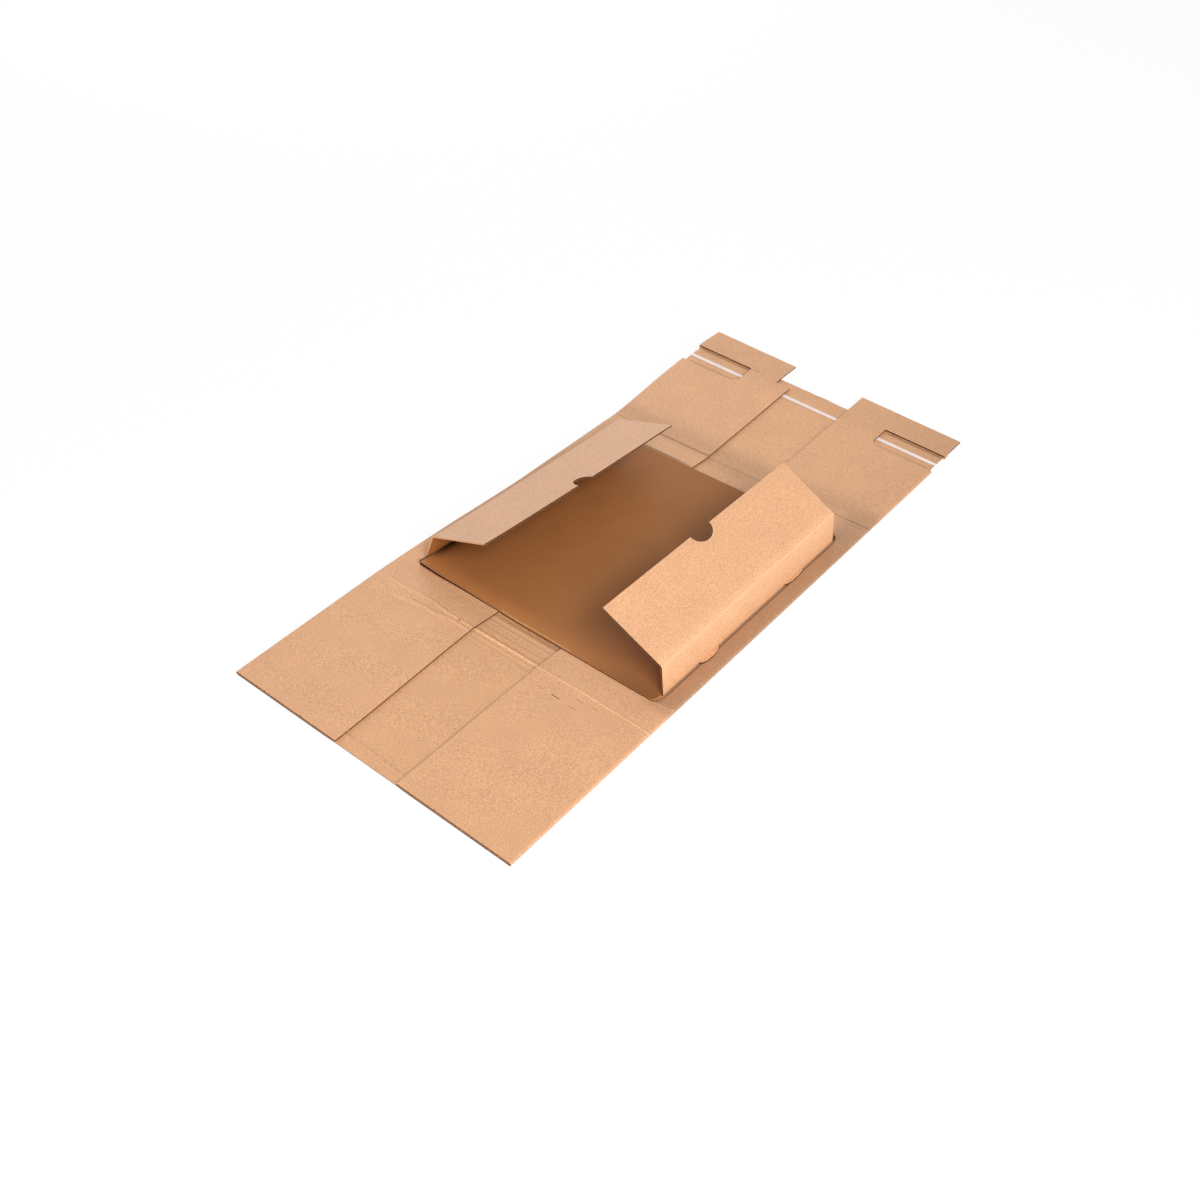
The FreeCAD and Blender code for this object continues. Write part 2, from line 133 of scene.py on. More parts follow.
class MailerTray(bpy.types.PropertyGroup):
    """The inner sheet, folded into a shallow tray."""
    base_width: length("Base width", "Flat of the base between its foot folds", 268.6)
    base_length: length("Base length", "Length of the base along the mailer", 279)
    shift: length("Shift", "Tray's middle to the right of the wrap's middle", 2)
    wall: length("Walls", "Flat of a side wall between its folds", 28.8)
    flap: length("Flaps", "Flat of a top flap from its fold to its free edge", 64.6)
    bend: length("Bend radius", "Inside radius of the folds", 1.0)
    front_shelf: length("Front shelf", "Base in front of the walls", 9.5)
    back_shelf: length("Back shelf", "Base behind the walls", 9.5)
    corner: length("Base corners", "Radius of the base's corners", 6)
    front_rise: length("Front rise", "Lift of the front left corner off the wrap", 3.8)
    front_start: length("Front start", "Start of that lift, left of the middle", 40)
    front_reach: length("Front reach", "Distance along in which that lift halves", 10)
    # How far left and right of the middle the front lip takes its painted highlight.
    lip_highlight_left: length("Crushed left", "How far left of the middle the front lip is crushed", 32)
    lip_highlight_right: length("Crushed right", "How far right of the middle it is crushed", 42)
    right_lean: angle("Right lean", "Right wall, inward from upright", 5)
    right_flap: angle("Right flap", "Right flap above level", 28.8)
    left_lean_near: angle("Left lean, near", "Left wall at its near end, inward from upright", 22)
    left_lean_far: angle("Left lean, far", "Left wall at its far end, inward from upright", 35.5)
    left_flap_near: angle("Left flap, near", "Left flap above level at its near end", 20)
    left_flap_far: angle("Left flap, far", "Left flap above level at its far end", 16.5)


class MailerClosure(bpy.types.PropertyGroup):
    """The adhesive strip and the paper that covers it."""
    clearance: length("Clearance", "Air under the adhesive and under its liner", 0.1)
    adhesive: length("Adhesive", "Thickness of the adhesive", 0.15)
    liner: length("Liner", "Thickness of the release liner", 0.1)
    trim: length("Trim", "How much narrower the strip runs at each side than its seat", 0.25)
    liner_paper: paint("Liner paper", "Colour of the release liner", "#EADCDA")
    glue: paint("Adhesive", "Colour of the hot-melt adhesive", "#E9DDB8")


class MailerStage(bpy.types.PropertyGroup):
    """Floor, lamps and camera."""
    floor: paint("Floor", "Colour of the floor", "#FFFFFF")
    lens: FloatProperty(
        name="Lens", description="Focal length for a 36 mm sensor, in mm", default=39.293
    )
    distance: length("Distance", "Camera to the point it looks at", 1166.6)
    azimuth: angle("Azimuth", "Camera's bearing from the near end, anticlockwise from above", 39.5)
    elevation: angle("Elevation", "Camera above the horizon", 41.76)
    aim: FloatVectorProperty(
        name="Aim", description="Point on the floor that the camera looks at",
        default=(20.3 * MM, -76.6 * MM, 0.0), unit="LENGTH", precision=4,
    )


GROUPS = {
    "mailer_board": MailerBoard,
    "mailer_wrap": MailerWrap,
    "mailer_tray": MailerTray,
    "mailer_closure": MailerClosure,
    "mailer_stage": MailerStage,
}


# ---- colour and nodes

MIDDLE = (0.3, 0.7)  # The range in which nearly all of a noise lies.


def linear(hex_colour):
    """An sRGB hex colour as linear RGBA."""
    channels = []
    for start in (1, 3, 5):
        share = int(hex_colour[start:start + 2], 16) / 255
        channels.append(share / 12.92 if share <= 0.04045 else ((share + 0.055) / 1.055) ** 2.4)
    return (*channels, 1.0)


class Nodes:
    """An emptied node tree, with a short call for each kind of node that the finishes share."""

    def __init__(self, owner):
        self.owner = owner
        owner.use_nodes = True
        self.tree = owner.node_tree
        self.tree.nodes.clear()

    def add(self, kind, inputs=None, **settings):
        """Add a node with its settings; an input is a value or is linked from an output socket."""
        node = self.tree.nodes.new("ShaderNode" + kind)
        for name, setting in settings.items():
            setattr(node, name, setting)
        for name, source in (inputs or {}).items():
            if isinstance(source, bpy.types.NodeSocket):
                self.tree.links.new(source, node.inputs[name])
            else:
                node.inputs[name].default_value = source
        return node

    def place(self):
        return self.add("TexCoord").outputs["Object"]

    def attribute(self, name):
        return self.add("Attribute", attribute_name=name).outputs["Fac"]

    def noise(self, place, size, detail):
        inputs = {"Vector": place, "Scale": 1 / size, "Detail": detail}
        return self.add("TexNoise", inputs).outputs["Fac"]

    def math(self, operation, first, second=0.0):
        return self.add("Math", {0: first, 1: second}, operation=operation).outputs[0]

    def remap(self, value, source, target):
        """Stretch a range of values to another."""
        inputs = {"Value": value, "From Min": source[0], "From Max": source[1]}
        inputs.update({"To Min": target[0], "To Max": target[1]})
        return self.add("MapRange", inputs).outputs[0]

    def mix(self, factor, first, second):
        inputs = {"Factor": factor, "A": first, "B": second}
        return self.add("Mix", inputs, data_type="RGBA").outputs["Result"]

    def toned(self, colour, value):
        return self.add("HueSaturation", {"Color": colour, "Value": value}).outputs["Color"]

    def bump(self, height, distance, **more):
        inputs = {"Height": height, "Distance": distance, **more}
        return self.add("Bump", inputs).outputs["Normal"]

    def finish(self, shader, output="OutputMaterial"):
        output = self.add(output)
        self.tree.links.new(shader.outputs[0], output.inputs["Surface"])

    def finish_principled(self, colour, roughness, normal, specular=0.5):
        inputs = {"Base Color": colour, "Roughness": roughness, "Normal": normal}
        self.finish(self.add("BsdfPrincipled", {**inputs, "Specular IOR Level": specular}))
        return self.owner


def kraft_paper(name, board, colour, gloss=0.5):
    """Kraft linerboard, machine-made and uncoated: matt, with fine fibres and a faint washboard."""
    nodes = Nodes(bpy.data.materials.new(name))
    place = nodes.place()
    # Fibre flecks of about 0.9 mm: coarser than real ones, so that they show at arm's length.
    flecks = nodes.noise(place, 0.9 * MM, 2.0)
    fleck_share = nodes.remap(flecks, (0.34, 0.6), (0.5, 0.0))
    grain = nodes.remap(flecks, MIDDLE, (0.91, 1.09))
    # Single dark specks of bark, up to 1 mm wide and about 15 mm apart.
    specks = nodes.add(
        "TexVoronoi", {"Vector": place, "Scale": 1 / (15 * MM), "Randomness": 1.0}, feature="F1",
    ).outputs["Distance"]
    speck_share = nodes.remap(specks, (0.018, 0.034), (0.55, 0.0))
    # Cloudy formation of the pulp, about 30 mm across.
    cloud = nodes.remap(nodes.noise(place, 28 * MM, 4.0), MIDDLE, (0.965, 1.035))
    # Flutes run across the mailer, so their washboard is banded along it, in bands that are
    # 2 pi / (20 scale) apart.
    washboard = nodes.add(
        "TexWave",
        {"Vector": place, "Scale": 2 * math.pi / (20 * board.flute), "Distortion": 0.9,
         "Detail": 1.0, "Detail Scale": 0.15},
        wave_type="BANDS", bands_direction="Y", wave_profile="SIN",
    ).outputs["Fac"]
    crest = nodes.math("MULTIPLY", washboard, nodes.attribute("washboard"))
    crest_value = nodes.remap(crest, (0.0, 1.0), (1.0, 0.88))
    # Painted light and shade: where none is painted, 0 gives a value of 1 and leaves the colour.
    painted_shading_value = nodes.remap(nodes.attribute("painted_shading"), (DARKEST, BRIGHTEST), (0.1, 1.7))
    value = cloud
    for factor in (crest_value, painted_shading_value, grain):
        value = nodes.math("MULTIPLY", value, factor)
    flecked = nodes.mix(fleck_share, linear(colour), linear(board.fibre))
    specked = nodes.mix(speck_share, flecked, linear(board.flute_paper))
    relief = nodes.bump(flecks, 0.05 * MM)
    relief = nodes.bump(crest, 0.06 * MM, Strength=0.8, Normal=relief)
    return nodes.finish_principled(nodes.toned(specked, value), 0.5, relief, gloss)


def cut_board(name, board):
    """Cut edge of corrugated board: brown fluting between two thin papers."""
    nodes = Nodes(bpy.data.materials.new(name))
    place = nodes.place()
    along = nodes.add("SeparateXYZ", {"Vector": place}).outputs["Y"]
    # The share of the board's thickness, from 0 on the outer face to 1 on the inner one.
    ply = nodes.attribute("ply")
    wave = nodes.math("SINE", nodes.math("MULTIPLY", along, 2 * math.pi / board.flute))
    wave = nodes.math("ADD", nodes.math("MULTIPLY", wave, 0.3), 0.5)
    off_wave = nodes.math("ABSOLUTE", nodes.math("SUBTRACT", ply, wave))
    off_middle = nodes.math("ABSOLUTE", nodes.math("SUBTRACT", ply, 0.5))
    flute = nodes.math("LESS_THAN", off_wave, 0.1)
    face = nodes.math("LESS_THAN", nodes.math("SUBTRACT", 0.5, off_middle), 0.09)
    grain = nodes.remap(nodes.noise(place, 1.5 * MM, 2.0), MIDDLE, (0.8, 1.15))
    fluted = nodes.mix(flute, linear(board.hollow), linear(board.flute_paper))
    mixed = nodes.mix(face, fluted, linear(board.inner_paper))
    relief = nodes.bump(face, 0.2 * MM, Strength=0.6)
    return nodes.finish_principled(nodes.toned(mixed, grain), 0.92, relief, 0.15)


def release_paper(name, colour):
    """Siliconised paper: pale, smooth and slightly glossy, with a faint crinkle."""
    nodes = Nodes(bpy.data.materials.new(name))
    crinkle = nodes.noise(nodes.place(), 9 * MM, 3.0)
    toned = nodes.toned(linear(colour), nodes.remap(crinkle, MIDDLE, (0.93, 1.03)))
    relief = nodes.bump(crinkle, 0.2 * MM)
    return nodes.finish_principled(toned, 0.4, relief, 0.4)


def hot_melt(name, colour):
    """Hot-melt adhesive, rolled on: translucent straw colour, shiny, with small ripples."""
    nodes = Nodes(bpy.data.materials.new(name))
    ripple = nodes.noise(nodes.place(), 2 * MM, 2.0)
    toned = nodes.toned(linear(colour), nodes.remap(ripple, (0.0, 1.0), (0.9, 1.1)))
    return nodes.finish_principled(toned, 0.2, nodes.bump(ripple, 0.1 * MM))


# ---- cutting and folding


def smooth(share):
    """A step from 0 to 1 with soft ends."""
    share = min(max(share, 0.0), 1.0)
    return share * share * (3 - 2 * share)


def ramp(place, none, whole):
    """A soft step that is 0 up to one place and 1 from another on; these two are in mm."""
    return smooth((place - none * MM) / ((whole - none) * MM))


def hump(place, middle, half_width):
    """A soft hump of height 1 around a middle; this and its half-width are in mm."""
    return math.exp(-(((place - middle * MM) / (half_width * MM)) ** 2))


def between(share, first, second):
    return first + (second - first) * share


def lines(*marks):
    """Grid lines through the marks, each a place and the spacing in mm up to the next mark."""
    places = []
    for (start, spacing), (end, _) in zip(marks, marks[1:]):
        count = max(1, round((end - start) / (spacing * MM)))
        places += [start + (end - start) * step / count for step in range(count)]
    return places + [marks[-1][0]]


def select_only(active, *others):
    """Select some objects and nothing else; the first is the active one."""
    bpy.ops.object.select_all(action="DESELECT")
    for piece in (active, *others):
        piece.select_set(True)
    bpy.context.view_layer.objects.active = active


def edit_chosen(kind, chosen, operator, **settings):
    """Run an edit operator on the chosen faces or edges of the active mesh."""
    bpy.ops.object.mode_set(mode="EDIT")
    bpy.ops.mesh.select_mode(type=kind)
    bpy.ops.mesh.select_all(action="DESELECT")
    bpy.ops.object.mode_set(mode="OBJECT")
    mesh = bpy.context.object.data
    for part in mesh.polygons if kind == "FACE" else mesh.edges:
        part.select = chosen(part)
    bpy.ops.object.mode_set(mode="EDIT")
    operator(**settings)
    bpy.ops.object.mode_set(mode="OBJECT")


def flat_grid(name, columns, rows):
    """A flat grid with its lines at the given places across and along."""
    last_column, last_row = len(columns) - 1, len(rows) - 1
    bpy.ops.mesh.primitive_grid_add(
        x_subdivisions=last_column, y_subdivisions=last_row, size=1.0, location=(0, 0, 0)
    )
    grid = bpy.context.object
    grid.name = grid.data.name = name
    for vertex in grid.data.vertices:
        column = round((vertex.co.x + 0.5) * last_column)
        row = round((vertex.co.y + 0.5) * last_row)
        vertex.co = (columns[column], rows[row], 0.0)
    return grid


def apply_modifier(piece, kind, **settings):
    modifier = piece.modifiers.new(kind.title(), kind)
    for name, setting in settings.items():
        setattr(modifier, name, setting)
    bpy.context.view_layer.objects.active = piece
    bpy.ops.object.modifier_apply(modifier=modifier.name)


def cut_sheet(name, columns, rows, waste, thickness):
    """A flat sheet of board: a grid without its waste, which is told by each face's middle."""
    sheet = flat_grid(name, columns, rows)
    edit_chosen(
        "FACE", lambda face: waste(face.center.x, face.center.y), bpy.ops.mesh.delete, type="FACE"
    )
    apply_modifier(sheet, "SOLIDIFY", thickness=thickness, offset=1.0)
    return sheet


def block(low, high, corner=None, radius=0.0):
    """A cutting block; one upright edge, the one nearest to the given corner, may be rounded."""
    bpy.ops.mesh.primitive_cube_add(size=1.0, location=(low + high) / 2, scale=high - low)
    cutter = bpy.context.object
    bpy.ops.object.transform_apply(location=True, rotation=True, scale=True)
    if corner:
        def apart(edge):
            ends = (cutter.data.vertices[number].co.xy for number in edge.vertices)
            return sum((end - corner).length for end in ends)

        nearest = min(cutter.data.edges, key=apart).index
        edit_chosen(
            "EDGE", lambda edge: edge.index == nearest,
            bpy.ops.mesh.bevel, offset=radius, segments=10, affect="EDGES",
        )
    return cutter


def disc(middle, across, along, depth, sides=64):
    """A cutting disc or ellipse."""
    bpy.ops.mesh.primitive_cylinder_add(vertices=sides, radius=1.0, depth=depth, location=middle)
    cutter = bpy.context.object
    cutter.scale = (across, along, 1.0)
    bpy.ops.object.transform_apply(location=True, rotation=True, scale=True)
    return cutter


def pierce(sheet, cutters):
    """Cut every cutter out of the sheet at once."""
    select_only(*cutters)
    if len(cutters) > 1:
        bpy.ops.object.join()
    punch = bpy.context.view_layer.objects.active
    apply_modifier(sheet, "BOOLEAN", operation="DIFFERENCE", solver="EXACT", object=punch)
    bpy.data.objects.remove(punch)


def note(mesh, name, values):
    """Keep a number at every point of the mesh, for its finish to read."""
    attribute = mesh.attributes.new(name, "FLOAT", "POINT")
    attribute.data.foreach_set("value", values)


def name_faces(sheet, board, materials):
    """Outer paper below, inner paper above and cut edges between, while the sheet is still flat."""
    sheet.data.materials.clear()
    for material in materials:
        sheet.data.materials.append(material)
    for face in sheet.data.polygons:
        paper = INNER if face.normal.z > 0 else OUTER
        face.material_index = CUT if abs(face.normal.z) < 0.5 else paper
    note(sheet.data, "ply", [
        min(max(vertex.co.z / board.thickness, 0.0), 1.0) for vertex in sheet.data.vertices
    ])


def lay_down(sheet, folded, shown, painted_shading):
    """Note where the washboard shows and where light or shade is painted on the sheet, and fold its
    every point.
    """
    flat_points = [vertex.co.copy() for vertex in sheet.data.vertices]
    note(sheet.data, "washboard", [shown(flat) for flat in flat_points])
    note(sheet.data, "painted_shading", [painted_shading(flat) for flat in flat_points])
    for vertex, flat in zip(sheet.data.vertices, flat_points):
        vertex.co = folded(flat)
    sheet.data.update()
    select_only(sheet)
    bpy.ops.object.shade_smooth_by_angle(angle=SMOOTH_UNDER)


# ---- how the wrap lies

# Marks in the wrap's margins and in its lower layer, the floor: height, half-width, and points
# across and along, all in mm. Besides their relief they are painted: raised ones as painted
# highlight and sunk ones as painted shade.
MARGIN = (
    # The ridge crease, in two lines that meet on the left margin.
    (0.4, 1.0, (-140, -31), (-118.6, -31.2), (-97.6, -27.6), (-82, -28.2), (-69.1, -30.4),
     (-53.5, -29.6), (-33, -30.4)),
    (-0.2, 0.9, (-140, -28.6), (-118.6, -28.8), (-97.6, -25.2), (-82, -25.8), (-69.1, -28),
     (-33, -28)),
    (0.4, 1.1, (-118, -45), (-108.6, -43), (-95.4, -39.4), (-84, -38.4), (-72.6, -39.4),
     (-60.2, -35.4), (-49.1, -34.4), (-33, -35.6)),
    (-0.3, 1.0, (-33, -33), (-60, -33), (-82, -35.6), (-100, -37)),
    (0.5, 0.85, (37, -30.2), (61.5, -29.4), (81.5, -28.4), (103.5, -29.1), (126, -28.8),
     (156, -30)),
    (-0.12, 0.8, (37, -28.2), (61.5, -27.4), (81.5, -26.4), (103.5, -27.1), (126, -26.8),
     (156, -28)),
    # Flute lines crushed beside the creases.
    (-0.24, 0.7, (-62, -3.5), (-33, -3.2)),
    (0.12, 0.7, (-60, -5.1), (-33, -4.8)),
    (-0.1, 0.7, (40, -13.6), (70, -13), (103, -12.4)),
    (-0.1, 0.7, (52, -7.5), (88, -7)),
    (0.3, 0.9, (128, -0.5), (145, 1.8), (156, 3)),
    # The far crease.
    (-0.3, 1.3, (-156, 308), (-116, 308)),
    (-0.8, 1.6, (-112, 308), (-33, 308)),
    (-0.22, 0.9, (-156, 302.6), (-33, 303)),
    (-0.5, 1.2, (37, 308.6), (98, 308), (156, 307.6)),
    (-0.22, 0.9, (110, 303.5), (150, 302)),
    # Painted shade along the tray's far edge and the feet of its walls, in shallow grooves.
    (-0.8, 1.0, (37, 281.3), (134, 281.3)),
    (-0.8, 0.6, (139.4, 8), (139.4, 272)),
    (-0.8, 0.6, (-135.4, 8), (-135.4, 272)),
)
FLOOR = (
    # The ridge crease.
    (0.8, 1.4, (-40, -28.4), (0, -28.1), (40, -27.9)),
    (-0.45, 1.0, (-40, -25.4), (0, -25.1), (40, -24.9)),
    (-0.2, 0.8, (-40, -31.4), (0, -31.3), (40, -31)),
    # Flute lines crushed beside the creases.
    (0.16, 0.8, (-40, -34), (0, -33.6), (40, -34.6)),
    (-0.18, 0.8, (-40, -37), (0, -36.2), (40, -38.2)),
    (-0.12, 0.9, (-40, -42.5), (0, -41.2), (40, -46)),
    (-0.24, 0.9, (-40, -18.7), (40, -18.4)),
    (0.16, 0.9, (-40, -20.6), (40, -20.3)),
    (-0.3, 0.8, (-40, -9), (40, -9)),
    (0.2, 0.8, (-40, -10.8), (40, -10.8)),
    # The next mark is painted shade under the tray's front edge.
    (-0.5, 1.8, (-40, -1.2), (40, -1.2)),
    (0.25, 0.9, (-40, -5.4), (40, -5.4)),
    # Beside the nipped near edge.
    (-0.3, 0.9, (-40, -180.3), (0, -180.4), (40, -182)),
    # The far crease.
    (-0.45, 1.3, (-40, 308), (40, 308)),
    (-0.3, 0.9, (-40, 304.2), (40, 304.2)),
    (-0.3, 0.9, (-40, 300.4), (40, 300.4)),
    (-0.2, 0.9, (-40, 296.6), (40, 296.6)),
    # Painted shade along the windows' near sides, in shallow dents.
    (-0.8, 1.0, (-152, 430.6), (-94, 430.6), (-88, 433)),
    (-0.8, 1.0, (152, 430.6), (94, 430.6), (88, 433)),
    # Painted shade along the windows' far sides, in shallow dents.
    (-0.8, 1.1, (-152, 457.2), (-86, 457.2)),
    (-0.8, 1.1, (152, 457.2), (86, 457.2)),
    (-0.8, 0.9, (-85.2, 437), (-85.2, 457.2)),
)
# Short dashes cut into the margins from the outer face: middle across and along and length, in mm,
# and whether they go right through.
DASHES = (
    (70.7, -46.4, 8.6, True), (89.3, -37.9, 7.4, False), (104, -36.8, 6.6, False),
    (89.4, -47.2, 7.6, False), (55, -46.2, 6, False), (-49.5, -30.6, 3, True),
    (139.5, 432.8, 6, False), (150.5, 431.5, 4, False), (-78, 458.4, 9, False),
    (-118.5, -192.75, 1.8, True), (-73.8, -192.75, 1.4, True), (77.4, -192.75, 1.4, True),
)


def distance_to(points, x, y):
    """Distance from a place to a line through points, in the points' own units."""
    nearest = math.inf
    for (x0, y0), (x1, y1) in zip(points, points[1:]):
        dx, dy = x1 - x0, y1 - y0
        share = min(max(((x - x0) * dx + (y - y0) * dy) / (dx * dx + dy * dy), 0.0), 1.0)
        nearest = min(nearest, math.hypot(x - x0 - share * dx, y - y0 - share * dy))
    return nearest


def mark_height(layer, x, y):
    """How far a layer's marks raise or press it, in metres; x and y are in metres too."""
    total = 0.0
    for height, half_width, *points in layer:
        reach = 3 * half_width
        along = [point[1] for point in points]
        if min(along) - reach < y / MM < max(along) + reach:
            away = distance_to(points, x / MM, y / MM) / half_width
            total += height * math.exp(-away * away)
    return total * MM


def painted_shade(x, y):
    """Painted shade beside the tray's walls, in the gap behind its far edge and beyond the far
    crease; darker also towards the far right and on the tails.
    """
    beside = ramp(x, 118, 138) * ramp(y, -12, 8) * ramp(y, 335, 285)
    left = ramp(x, -136, -144) * ramp(y, 30, 60) * ramp(y, 260, 200)
    beyond = hump(y, 321, 14)
    right = ramp(y, 280, 360) * max(x / HALF_WIDTH, 0.0) ** 2
    tails = ramp(y, 420, 470)
    gap = hump(y, 282, 1.1) * ramp(x, -15, -65) * ramp(x, -130, -120)
    return -3.4 * gap - 1.55 * beside - 0.6 * left - 0.75 * beyond - 0.5 * right - 0.35 * tails


def side_lift(wrap, x, y):
    """Lift of the wrap off the floor: its left side arches in front and rises at the closure."""
    left_share = (HALF_WIDTH - x) / (2 * HALF_WIDTH)
    ridge = between(left_share, wrap.right_ridge, wrap.left_ridge)
    curl_start, settled = 67 * MM, 150 * MM
    front = wrap.front_lift * max(0.0, (-x - curl_start) / (HALF_WIDTH - curl_start)) ** 3
    ridge_line = FREE_END + wrap.near_panel
    foot_line = ridge_line + wrap.near_spine
    far_crease = TAIL_END - wrap.tail - wrap.closure
    if y <= ridge_line:
        return ridge * (y - FREE_END) / wrap.near_panel
    if y <= foot_line:
        return between((y - ridge_line) / wrap.near_spine, ridge, front)
    if y <= far_crease:
        return front * max(0.0, 1 - (y - foot_line) / (settled - foot_line))
    rise = between(left_share, wrap.right_rise, wrap.left_rise)
    return rise * (y - far_crease) / (TAIL_END - far_crease)


def sway(x, y, height, width, slice_of_noise):
    """The slight, irregular lift of a sheet that doesn't lie quite flat."""
    return height * max(0.0, 0.5 + noise.noise(Vector((x, y, slice_of_noise)) / width))


class WrapFold:
    """The wrap's cross-section: a floor and two margins turned over on top of it."""

    MIDDLE_HALF = 44 * MM  # Half the width between the margins, with a little of what they cover.
    NIP, NIP_BACK = 0.9 * MM, 0.3 * MM  # How far the near edge is nipped down and drawn back.
    WAVE, WAVE_LENGTH = 1.6 * MM, 16 * MM  # The waves of the trimmed far edge.
    CRUSHED = 0.17  # What is left of the fold's reach where it is crushed.
    BARE, BARE_CUT = 8 * MM, 0.25  # Width and share of what is trimmed off beside the windows.
    TAIL_TAPER = 0.017  # How much narrower the left tail gets.

    def __init__(self, board, wrap):
        self.board = board.thickness
        self.wrap = wrap
        self.radius = board.thickness + board.gap / 2
        self.flat_half = HALF_WIDTH - self.radius
        self.bend = math.pi * (self.radius - self.board / 2)
        self.half_turn = self.flat_half + self.bend / 2
        self.turned = self.flat_half + self.bend
        self.lower_end = TAIL_END - wrap.tail
        self.window_near = self.lower_end - wrap.window_near
        self.window_far = self.lower_end - wrap.window_far

    def across(self, x):
        """Where a place on a margin is on the flat sheet."""
        return math.copysign(self.turned + self.flat_half - abs(x), x)

    def section(self, flat):
        """A flat point's place across, height over the floor, and 0 to 1 for floor to margin."""
        side = math.copysign(1.0, flat.x)
        past = abs(flat.x) - self.flat_half
        inside = self.radius - flat.z
        if past <= 0:
            return flat.x, flat.z, 0.0
        if past < self.bend:
            turn = math.pi * past / self.bend
            across = self.flat_half + inside * math.sin(turn)
            return side * across, self.radius - inside * math.cos(turn), past / self.bend
        return side * (self.flat_half - past + self.bend), 2 * self.radius - flat.z, 1.0

    def skew(self, x, y):
        """How far the left margin's free edge wanders inward, less how far it wanders outward."""
        if x > 0:
            return 0.0
        return ramp(y, 260, 310) * 1.8 * MM - ramp(abs(y + 20 * MM), 170, 0) * 4.0 * MM

    def place(self, flat):
        """Where a point of the flat sheet lies in the frame."""
        x, height, turned = self.section(flat)
        y, wrap = flat.y, self.wrap
        layer = MARGIN if turned > 0.5 else FLOOR
        if turned >= 1.0:
            margin = wrap.left_margin if x < 0 else wrap.right_margin
            x += self.skew(x, y) * (HALF_WIDTH - abs(x)) / margin
        marks = mark_height(layer, x, y)
        if layer is FLOOR and marks < 0:
            marks *= flat.z / self.board
        height += marks if turned in (0.0, 1.0) else 0.0
        if turned == 0.0 and abs(x) < self.MIDDLE_HALF:
            # Between the margins the near edge is nipped flat and the far edge trimmed wavily.
            nip = ramp(y, -180, -193) * ramp(abs(x), 44, 34)
            height -= nip * self.NIP * flat.z / self.board
            y += nip * self.NIP_BACK
            wave = self.WAVE * noise.noise(Vector((x / self.WAVE_LENGTH, 0.0, 3.0)))
            y += wave * ramp(y - self.lower_end, -12, 0)
        past_near_side = y > self.window_near + 1 * MM
        if 0.0 < turned < 1.0 and past_near_side:
            # Beside and beyond the windows the fold is crushed.
            x = math.copysign(between(self.CRUSHED, self.flat_half, abs(x)), x)
        if turned < 0.55 and past_near_side and y < self.window_far - 0.5 * MM:
            # The lower layer is trimmed short where the windows leave it bare.
            x -= math.copysign(self.BARE_CUT * max(0.0, abs(x) - self.flat_half + self.BARE), x)
        if x < 0:
            if y > self.lower_end:
                x *= 1 - self.TAIL_TAPER * (y - self.lower_end) / wrap.tail
            x += wrap.waist * ramp(y, 40, 160) * ramp(y, 400, 320) * (x / HALF_WIDTH) ** 4
        swaying = sway(x, y, 0.22 * MM, 55 * MM, 0.0) * turned
        return Vector((x, y + TRAY_FRONT, height + side_lift(wrap, x, y) + swaying))


def hand_over(piece, slot, *nodes):
    """The piece rides on the mailer's one body and stands for its nodes, which are hidden; the slot
    is not used.
    """
    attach(piece, "root")
    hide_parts(*nodes)


def board_materials(board, inner_name, inner_colour, gloss):
    """Outer paper and cut edges, which both sheets share, around the sheet's own inner paper."""
    made = bpy.data.materials
    if "kraft_outer_paper" not in made:
        kraft_paper("kraft_outer_paper", board, board.outer_paper)
        cut_board("cut_board_edge", board)
    inner = kraft_paper(inner_name, board, inner_colour, gloss)
    return made["kraft_outer_paper"], inner, made["cut_board_edge"]


